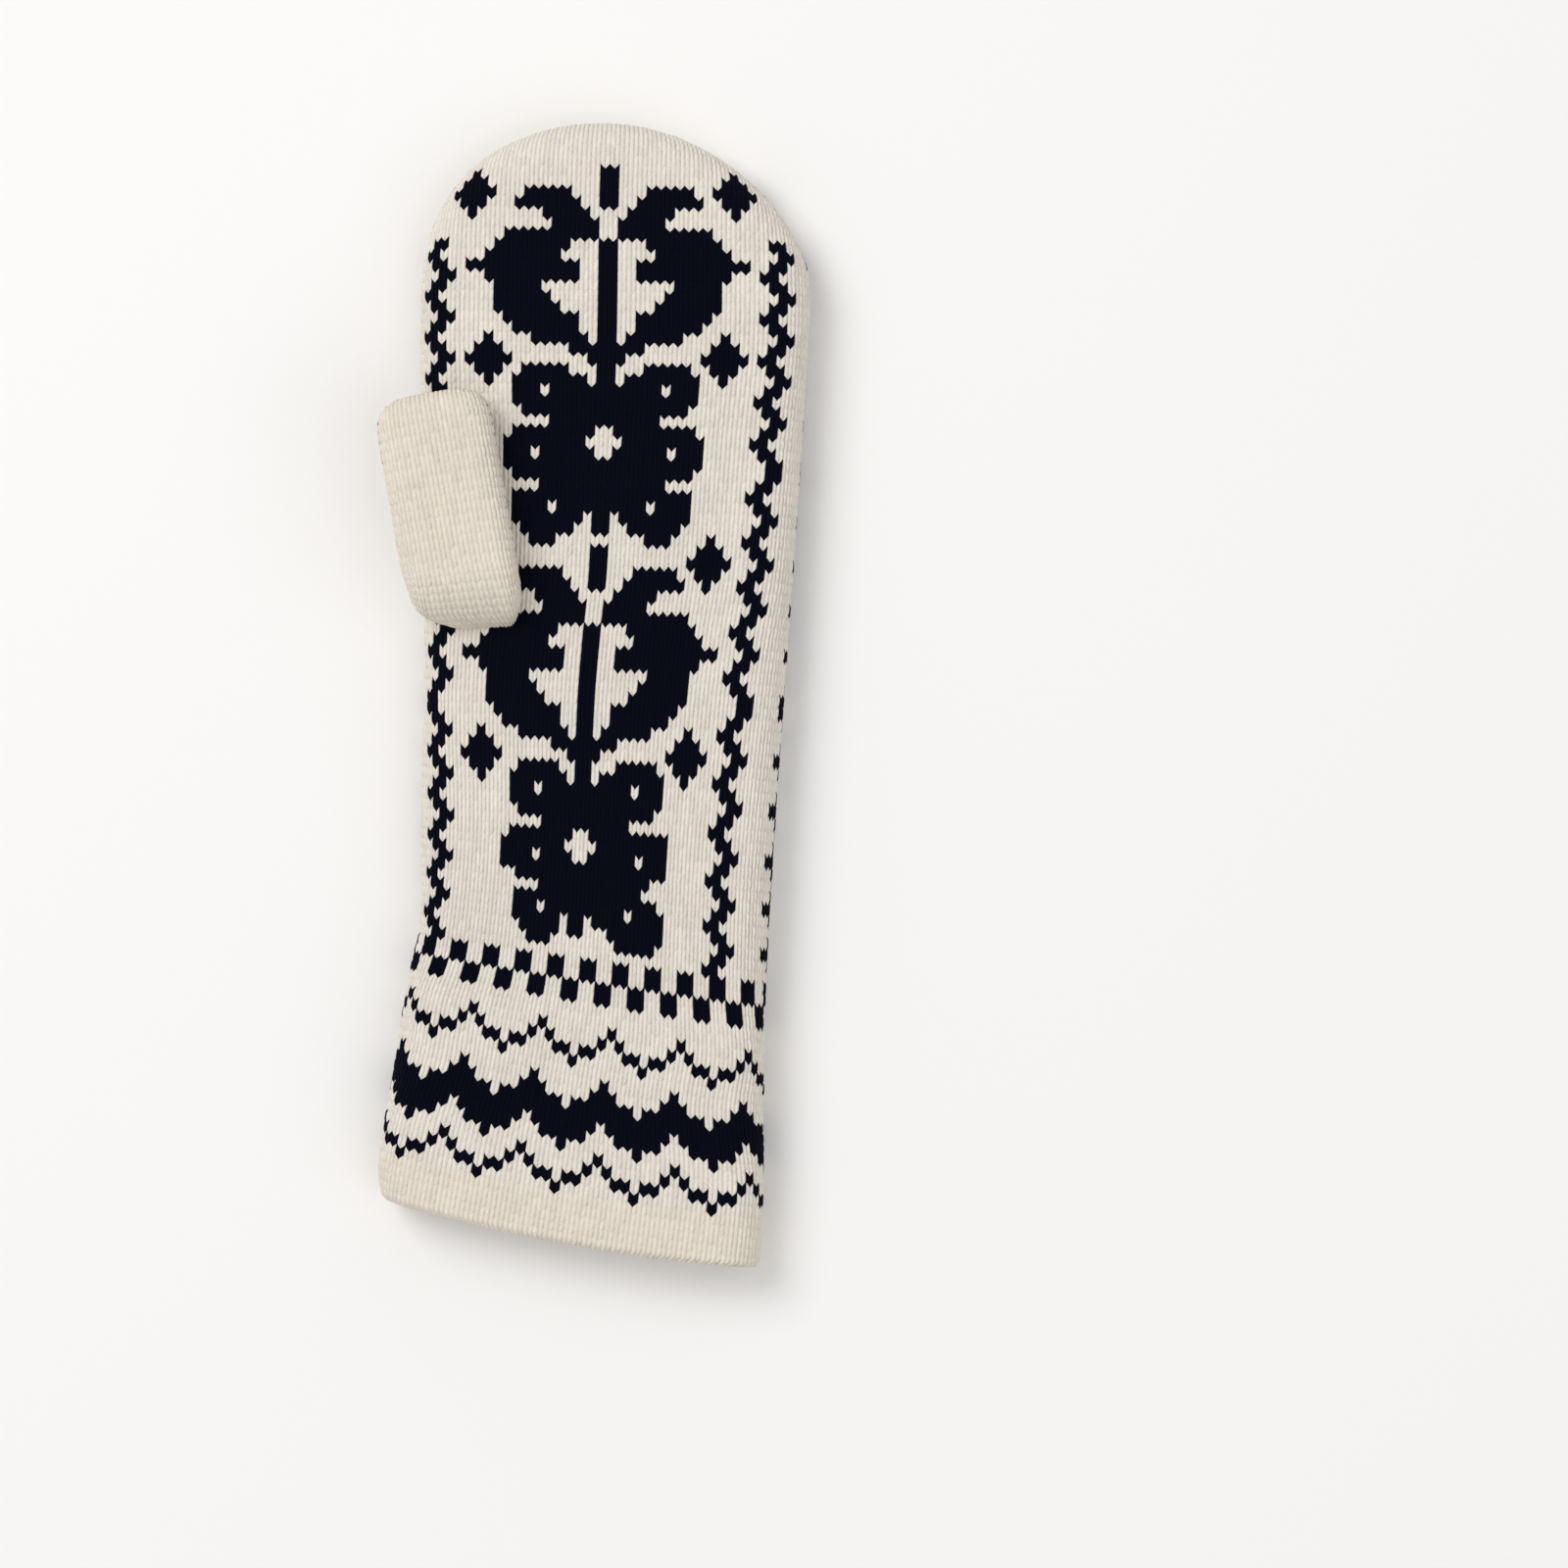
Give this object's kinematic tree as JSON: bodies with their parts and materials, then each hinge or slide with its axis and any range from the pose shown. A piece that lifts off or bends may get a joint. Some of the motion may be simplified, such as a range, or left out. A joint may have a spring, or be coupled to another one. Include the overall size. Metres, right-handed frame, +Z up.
{
  "type": "knitted mitten",
  "caption": "Left-hand wool mitten with a two-colour flower pattern, a chevron cuff, a doubled hem and a plain thumb, lying flat with its palm up.",
  "frame": {"origin": "on the surface that the mitten lies on, under the middle of its outline seen from above", "axes": "+Z up, out of the palm; +Y along the hand towards the finger tips; the thumb lies on the -X side"},
  "size_m": [0.1082, 0.2912, 0.0316],
  "materials": {
    "hand_wool": "stranded knit of cream and near-black navy wool",
    "cuff_wool": "stranded knit of cream and near-black navy wool",
    "plain_wool": "plain knit of cream wool, slightly felted"
  },
  "bodies": {
    "root": {"hand": "hand_wool", "cuff": "cuff_wool", "cuff_hem": "plain_wool", "thumb": "plain_wool"}
  },
  "joints": []
}
